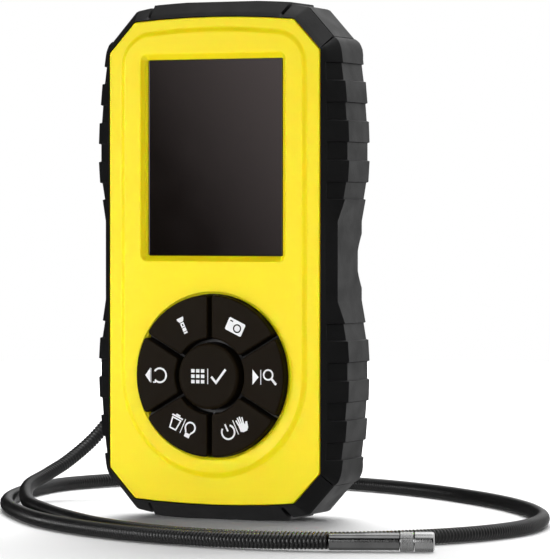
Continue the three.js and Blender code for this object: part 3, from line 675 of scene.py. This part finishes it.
def torch_icon():
    head = [(-1.15, 2.6), (1.15, 2.6), (1.15, 2.05), (0.62, 1.2), (-0.62, 1.2), (-1.15, 2.05)]
    left, right = bar(-0.62, -0.55, -0.24, 0.95), bar(0.24, -0.55, 0.62, 0.95)
    middle = [bar(-0.24, 0.55, 0.24, 0.95), bar(-0.24, -0.55, 0.24, -0.1)]
    low = [bar(-0.62, -1.85, 0.62, -0.75), bar(-0.62, -2.6, 0.62, -2.05)]
    return [head, left, right, *middle, *low]


def camera_icon():
    return [rounded(bar(-2.95, -2.05, 2.95, 2.05), [0.45] * 4)]


def zoom_icon():
    lens = band(disc(2.25, 0.75, 1.24), disc(2.25, 0.75, 1.76))
    grip = stroke([(3.4, -0.5), (4.9, -2.2)], 0.75)
    return [[(-3.0, -2.35), (-0.95, 0), (-3.0, 2.35)], *lens, *grip, bar(-0.35, -2.25, -0.08, 2.25)]


def power_icon():
    ring = stroke(arc(-2.9, -0.3, 2.15, 128, 412, 30), 0.55)
    stem = stroke([(-2.9, -0.05), (-2.9, 2.35)], 0.52)
    palm = [(1.0, -1.9), (1.9, -2.4), (3.2, -2.4), (3.9, -1.6), (4.35, 0.2), (3.75, 0.35),
            (3.3, -0.5), (3.15, 0.4), (1.05, 0.4)]
    fingers = []
    for x, high, lean in ((1.2, 1.85, -0.22), (1.78, 2.4, -0.05), (2.36, 2.45, 0.1), (2.94, 2.0, 0.28)):
        fingers += stroke([(x, 0.2), (x + lean, high)], 0.46)
    return ring + stem + [palm] + fingers


def bin_icon():
    can = [(-2.75, 1.1), (-4.25, 1.1), (-3.85, -2.2), (-1.7, -2.2), (-1.25, 1.1), (-2.75, 1.1)]
    lid = stroke([(-4.7, 1.8), (-0.8, 1.8)], 0.5) + stroke([(-3.5, 2.35), (-2.0, 2.35)], 0.5)
    bulb = stroke(arc(2.5, 0.6, 1.65, -48, 228, 26), 0.52)
    neck = stroke([(1.4, -0.62), (1.7, -1.3)], 0.48) + stroke([(3.6, -0.62), (3.3, -1.3)], 0.48)
    return stroke(can, 0.44) + lid + bulb + neck + [bar(1.6, -2.6, 3.4, -1.3)]


def rotate_icon():
    arrow = [[(-2.1, -2.2), (-2.1, 2.2), (-3.75, 0)], bar(-1.95, -2.25, -1.75, 2.25)]
    ring = stroke(arc(1.2, 0, 2.15, -140, 145, 28), 0.55)
    return arrow + ring + stroke([(-1.1, -2.15), (-0.3, -2.15), (-0.3, -1.4)], 0.4)


def pictogram(name, key, shapes, angle, place, front=SECTOR_FRONT, material=PRINT):
    """Print on a key: plates 0.03 mm proud of the rubber, each a hair higher than the last."""
    surface = Surface()
    turn = Matrix.Rotation(math.radians(angle), 2)
    for i, outline in enumerate(shapes):
        placed = [turn @ Vector(p) + Vector(place) for p in outline]
        top = front - 0.03 - 0.0004 * i
        rings = surface.tube([[at(p.x, v, p.y) for p in placed] for v in (front + 0.05, top)])
        surface.fill(rings[1])
        surface.fill(rings[0])
    surface.piece(name, material, f"key_{key}_body")


def sector_place(degrees, radius):
    a = math.radians(degrees)
    return radius * math.cos(a), PAD_Z + radius * math.sin(a)


CAMERA_PLACE = sector_place(60, 17.6)
CAMERA_LENS = [*band(disc(0.8, -0.2, 0.95), disc(0.8, -0.2, 1.38)), bar(-2.3, 1.0, -1.3, 1.4)]

pictogram("print_ok", "ok", GRID + DIVIDER + TICK, 0, (0, PAD_Z), OK_FRONT)
pictogram("print_torch", "torch", torch_icon(), 25, sector_place(120, 17.8))
pictogram("print_camera", "camera", camera_icon(), -25, CAMERA_PLACE)
pictogram("print_camera_lens", "camera", CAMERA_LENS, -25, CAMERA_PLACE, SECTOR_FRONT - 0.012, KEY_RUBBER)
pictogram("print_zoom", "next_zoom", zoom_icon(), 0, sector_place(0, 17.6))
pictogram("print_power", "power_freeze", power_icon() + DIVIDER, 25, sector_place(300, 17.9))
pictogram("print_bin", "delete_light", bin_icon() + DIVIDER, -25, sector_place(240, 17.9))
pictogram("print_rotate", "back_rotate", rotate_icon(), 0, sector_place(180, 18.0))


# ------------------------------------------------------------------ rubber bumper
RIDGE_FRONT, RIDGE_BACK = 6.5, 23.1
RIBS = [(24.2, 30.85), (36.4, 43), (48.5, 55.2)]
RIB_RECESS = 0.7
WAIST_START, WAIST_END, CORNER_RIB = 12.2, 19, 60.5
WAIST_FRONT, WAIST_BACK, SCOOP, SCOOP_END = 5, 24.4, 4, 8.4
BODY_TOP, WALL_BACK = MID_Z, 29.2
PAD_END, PAD_FLAT, PAD_BACK, PAD_SIDE_BACK = 23.5, 12, 24.6, RIDGE_BACK + 0.5
REACH = [
    (WAIST_START, 39.45), (WAIST_END, 41.3), (24.2, 42.2), (30.5, 42.6), (36.5, 42.6), (43, 42.35),
    (48.6, 41.9), (55, 41.35), (60.6, 40.6), (63.6, 40.2),
]


def side_reach(z):
    """How far out the ridge reaches on the side, at a height above the middle."""
    for (z0, r0), (z1, r1) in zip(REACH, REACH[1:]):
        if z <= z1:
            return r0 + (r1 - r0) * max(0, z - z0) / (z1 - z0)


def station(o, n, r, proud=1.0, groove=0.0, front=RIDGE_FRONT, back=RIDGE_BACK, line=0.0):
    """Where a cross-section stands, seen from the front, and how it is drawn.

    The face's border is at o, n points outwards from it, and the ridge reaches out to r. Proud
    runs from 0, beside a rib, to 1, on it. Front and back are the ridge's depths, and groove and
    line cut into it.
    """
    return {"o": o, "n": n, "r": r, "proud": proud, "groove": groove, "front": front, "back": back,
            "line": line}


def side_station(z, proud):
    share = min(1, max(0, (z - WAIST_START) / (WAIST_END - WAIST_START)))
    scoop = SCOOP * math.cos(min(1, z / SCOOP_END) * math.pi / 2)
    front = WAIST_FRONT + (RIDGE_FRONT - WAIST_FRONT) * share
    back = (WAIST_BACK - scoop) * (1 - share) + RIDGE_BACK * share
    return station((FACE_HALF_WIDTH, z), (1, 0), (side_reach(z), z), proud, front=front, back=back)


def pad_station(x, share, groove=0.0, o_x=None):
    """Share is 0 beside the raised pad and 1 on it, and o_x is the border's own x, if not the same."""
    o_x = x if o_x is None else o_x
    height = BODY_TOP - 0.75 * (1 - share) - BOW * max(0, x * x - PAD_FLAT ** 2)
    back = PAD_SIDE_BACK + (PAD_BACK - PAD_SIDE_BACK) * share
    return station((o_x, edge_height(o_x)), (2 * BOW * x, 1), (x, height), groove=groove, back=back)


def between(one, two, share):
    """A station part of the way from one to another."""
    def mix(a, b):
        if isinstance(a, tuple):
            return tuple(mix(p, q) for p, q in zip(a, b))
        return a + (b - a) * share

    return {key: mix(one[key], two[key]) for key in one}


def rib_end(z, rises):
    """Four stations across the end of a rib: a steep, slightly rounded step."""
    shares = (0, 0.12, 0.88, 1) if rises else (1, 0.88, 0.12, 0)
    return [side_station(z + shift, share) for shift, share in zip((-0.17, -0.08, 0.08, 0.17), shares)]


def quarter_stations():
    """Stations of the upper right quarter, from the middle of the side to the middle of the top."""
    made = [side_station(z, 1.0) for z in (0, 1.5, 3, 4.5, 6, 7.5, 8.4, 10, 11.9, 12.4, 15, 17.5)]
    made += rib_end(WAIST_END, False)
    for low, high in RIBS:
        made.append(side_station(low - 2.6, 0.0))
        made += rib_end(low, True) + [side_station((low + high) / 2, 1.0)] + rib_end(high, False)
    made.append(side_station(57.8, 0.0))
    made += rib_end(CORNER_RIB, True) + [side_station(62, 1.0)]
    made += [
        station((FACE_HALF_WIDTH, 63.2), (1, 0), (side_reach(63.6), 63.6), back=23.7),
        station((FACE_HALF_WIDTH, 63.7), (1, 0.05), (39.9, 65.2), back=23.9),
        station((FACE_HALF_WIDTH, 64), (1, 0.15), (39.4, 66.5), back=23.8),
        station((35.53, 64.2), (0.97, 0.22), (39.0, 67.3), back=23.6),
        station((35.5, 64.35), (0.95, 0.3), (38.4, 67.95), back=23.3),
        station((35.45, 64.45), (0.93, 0.38), (37.75, 68.4)),
    ]
    mitre = station((35.43, 64.51), (0.84, 0.54), (37.4, 68.55), groove=1.3)
    chamfer = (0.735, 0.678)
    first = station((35.38, 64.56), chamfer, (37.25, 68.7))
    last = station((ARC_END + 0.12, edge_height(ARC_END) - 0.13), chamfer, (29.4, 77.4))
    made += [mitre, first]
    made += [{**between(first, last, share), "line": 0.5} for share in (0.03, 0.25, 0.5, 0.75, 1.0)]
    made.append(station((ARC_END - 0.2, edge_height(ARC_END)), (0.2, 1), (28.5, 77.8), line=0.1))
    made += [
        pad_station(PAD_END + 1.0, 0),
        pad_station(PAD_END + 0.5, 0, 0.0, 22.9),
        pad_station(PAD_END + 0.2, 0.2, 1.2, 22.5),
        pad_station(PAD_END - 0.2, 0.9, 1.2, 22.1),
        pad_station(PAD_END - 0.5, 1, 0.0, 21.7),
    ]
    return made + [pad_station(x, 1) for x in (20, 16, PAD_FLAT, 8, 4)]


def soften(points, radii):
    """An open line of (u, v) with some corners turned into arcs of three pieces."""
    made = [points[0]]
    for i in range(1, len(points) - 1):
        if not radii.get(i):
            made.append(points[i])
            continue
        here = Vector(points[i])
        before, after = Vector(points[i - 1]) - here, Vector(points[i + 1]) - here
        cut = min(radii[i], before.length * 0.45, after.length * 0.45)
        before, after = before.normalized() * cut, after.normalized() * cut
        for share in (0, 0.33, 0.67, 1):
            made.append(tuple(here + before * (1 - share) ** 2 + after * share ** 2))
    return made + [points[-1]]


def section(s):
    """The cross-section at a station, as points round the ring's wall."""
    o, n, r = Vector(s["o"]), Vector(s["n"]), Vector(s["r"])
    lip = o + n * 0.3
    reach = (r - lip).length
    out = (r - lip) / reach
    front, rear, proud = s["front"], s["back"], s["proud"]
    start = [(0, 0.15), (0.25 * reach, 1.6)]
    end = [(-0.6, WALL_BACK - 0.4), (-0.9, WALL_BACK)]
    sunk = reach - RIB_RECESS
    high = [*start, (0.29 * reach, 1.85), (reach, front), (reach, rear), *end]
    low = [*start, (0.25 * reach - 0.4, 2.1), (sunk, front + 0.3), (sunk, rear), *end]
    line = [(a + (c - a) * proud, b + (d - b) * proud) for (a, b), (c, d) in zip(low, high)]
    cut = s["groove"]
    shifts = [(0, 0), (-0.3, 0.3), (-0.66, 0.75), (-0.85, 0.6), (-0.4, 0), (0, 0), (0, 0)]
    line = [(u + cut * a, v + cut * b) for (u, v), (a, b) in zip(line, shifts)]
    u, v = line[3]
    line[4:4] = [(u - s["line"], v + 0.3), (u - s["line"], v + 0.6), (u, v + 0.9)]
    line = soften(line, {1: 0.35, 3: 0.4, 7: 0.6, 8: 0.3})
    points = [(lip + out * u, v) for u, v in line]
    inner = o - n * 1.5
    points += [(inner, WALL_BACK), (inner, 2.8), (lip, 2.8)]
    return [at(p.x, v, p.y) for p, v in points]


def flip(s, x=1, z=1):
    """The same station in another quarter."""
    return {**s, **{key: (s[key][0] * x, s[key][1] * z) for key in ("o", "n", "r")}}


def bumper_ring(name):
    """The whole ring, closed over the ports, as an object with nothing on it yet."""
    quarter = quarter_stations()
    upper = quarter + [pad_station(0, 1)] + [flip(s, x=-1) for s in reversed(quarter)]
    lower = [flip(s, z=-1) for s in reversed(upper)][1:-1]
    surface = Surface()
    rings = [surface.loop(section(s)) for s in upper + lower]
    for one, two in zip(rings, rings[1:] + rings[:1]):
        surface.bridge(one, two)
    return surface.bare(name)


PORTS = [((-12.2, 10.2), (-3.8, 14.6)), ((2, 10.2), (14.6, 13.6))]
PORT_HOLES = [((x0, v0, 70), (x1, v1, 80)) for (x0, v0), (x1, v1) in PORTS]
PLUG_GAP = 0.7
PORT_PLUGS = [
    ((x0 + PLUG_GAP, v0 + PLUG_GAP, 76.4), (x1 - PLUG_GAP, v1 - PLUG_GAP, 78.3))
    for (x0, v0), (x1, v1) in PORTS
]

bumper = bumper_ring("ribbed_bumper")
carve(bumper, [((-PAD_END - 0.1, 7.4, 77.3), (PAD_END + 0.1, 21, 82)), *PORT_HOLES])
dress(bumper, BUMPER_RUBBER, stands_for=["bumper"], sharp=34)

flap = bumper_ring("rubber_port_flap")
carve(flap, [((-PAD_END + 0.2, 7.7, 77.6), (PAD_END - 0.2, 20.7, 82))], "INTERSECT")
carve(flap, PORT_PLUGS, "UNION")
dress(flap, BUMPER_RUBBER, "port_flap_body", ["port_flap"], sharp=34)


# ------------------------------------------------------------------ CAD nodes that show as they are
FINISHES = {
    "front_frame": BLACK_PLASTIC, "rear_cover": BLACK_PLASTIC, "battery_cover": BLACK_PLASTIC,
    "keypad_bezel": BLACK_PLASTIC, "battery_tray": BLACK_PLASTIC, "lcd_holder": BLACK_PLASTIC,
    "lead_connector": BLACK_PLASTIC, "gland_nut": BLACK_PLASTIC,
    "screen_gasket": NYLON, "display_flex": NYLON, "keypad_mat": NYLON, "camera_lead": CORD_RUBBER,
    "lcd_panel": GLASS, "main_board": BOARD, "processor_chip": CHIP, "memory_chip": CHIP,
    "power_coil": CHIP, "memory_card": CHIP, "usb_socket": PLATED, "card_slot": PLATED,
    "contact_strip_low": PLATED, "contact_strip_high": PLATED,
}
for i in range(1, 7):
    FINISHES[f"rear_screw_{i}"] = PLATED
for i in range(1, 5):
    FINISHES[f"battery_cell_{i}"] = CELL_SLEEVE
for key in ["ok"] + [key for key, _ in SECTOR_KEYS]:
    FINISHES[f"snap_dome_{key}"] = PLATED

for name, material in FINISHES.items():
    node = nodes[name]
    node.data.materials.clear()
    node.data.materials.append(material)
    edge = node.modifiers.new("soft_edges", "BEVEL")
    edge.width, edge.segments = 0.00022, 2
    edge.limit_method, edge.angle_limit = "ANGLE", math.radians(40)
    even = node.modifiers.new("even_normals", "WEIGHTED_NORMAL")
    even.weight = 80


# ------------------------------------------------------------------ floor and light
# A round floor that ends in front of the lights, so that every part of it is lit.
bpy.ops.mesh.primitive_circle_add(vertices=128, radius=1.2, fill_type="NGON", location=(0, 0, 0))
floor = bpy.context.object
floor.name = "floor"
floor.data.materials.append(shader("pale_paper", (0.93, 0.93, 0.93), 0.9)[0])
floor.visible_glossy = False


def soft_light(name, location, size, power, target=(0, 0, 0.08), glossy=False):
    light = bpy.data.lights.new(name, "AREA")
    light.shape, light.energy = "RECTANGLE", power
    light.size, light.size_y = size
    made = bpy.data.objects.new(name, light)
    bpy.context.scene.collection.objects.link(made)
    made.location = location
    made.rotation_mode = "QUATERNION"
    made.rotation_quaternion = (Vector(location) - Vector(target)).to_track_quat("Z", "Y")
    made.visible_glossy = glossy
    return light


soft_light("face_light", (-1.0, -1.1, 0.24), (0.5, 0.4), 5.1, glossy=True)
soft_light("fill_light", (0.75, -1.3, 0.08), (0.6, 0.3), 4.0)
soft_light("back_light", (-0.8, 1.85, 1.6), (1.9, 1.9), 118)
low_light = soft_light("low_light", (-0.3, -1.4, 0.1), (0.3, 0.2), 0.1, (0, 0, -0.03))
low_light.spread = math.radians(16)

# What reflections find round the object: a direction, the cosines between which the light fades
# in, and its strength.
GLOWS = [
    ((0.1, 0.62, 0.778), 0.75, 0.95, 1.35),         # the ceiling, behind
    ((0.25, -0.3, 0.92), 0.93, 0.97, 0.75),         # a strip overhead
    ((0.25, -0.66, -0.7), 0.7, 0.78, 0.27),         # the floor in front
    ((-0.4, 0.3, -0.866), 0.6, 0.95, 0.17),         # the floor behind
    ((0.8, 0.3, 0.52), 0.75, 0.95, 0.3),            # the right wall
    ((0.25, 0.966, 0.07), 0.62, 0.85, 0.74),        # the backdrop
    ((-0.08, -0.972, 0.22), 0.912, 0.936, 1.15),    # a card in front, which the display reflects
]
DIMMEST = 0.012


def studio_world():
    """An almost dark room with soft bright places, which is plain white to the camera."""
    world = bpy.data.worlds.new("studio")
    bpy.context.scene.world = world
    world.use_nodes = True
    tree = world.node_tree
    background = tree.nodes["Background"]
    background.inputs["Color"].default_value = (1, 1, 1, 1)
    direction = tree.nodes.new("ShaderNodeTexCoord").outputs["Generated"]

    def glow(axis, start, end, strength):
        """Light that comes in from round an axis."""
        dot = tree.nodes.new("ShaderNodeVectorMath")
        dot.operation = "DOT_PRODUCT"
        dot.inputs[1].default_value = axis
        tree.links.new(direction, dot.inputs[0])
        return spread(tree, dot.outputs["Value"], 0, strength, start, end)

    def brighter(one, two=None):
        """The brighter of two lights, or of one and the dimmest that any direction has."""
        node = tree.nodes.new("ShaderNodeMath")
        node.operation = "MAXIMUM"
        node.inputs[1].default_value = DIMMEST
        tree.links.new(one, node.inputs[0])
        if two:
            tree.links.new(two, node.inputs[1])
        return node.outputs["Value"]

    light = brighter(tree.nodes.new("ShaderNodeLightPath").outputs["Is Camera Ray"])
    for part in GLOWS:
        light = brighter(light, glow(*part))
    tree.links.new(light, background.inputs["Strength"])


studio_world()
bpy.context.scene.view_settings.view_transform = "Standard"
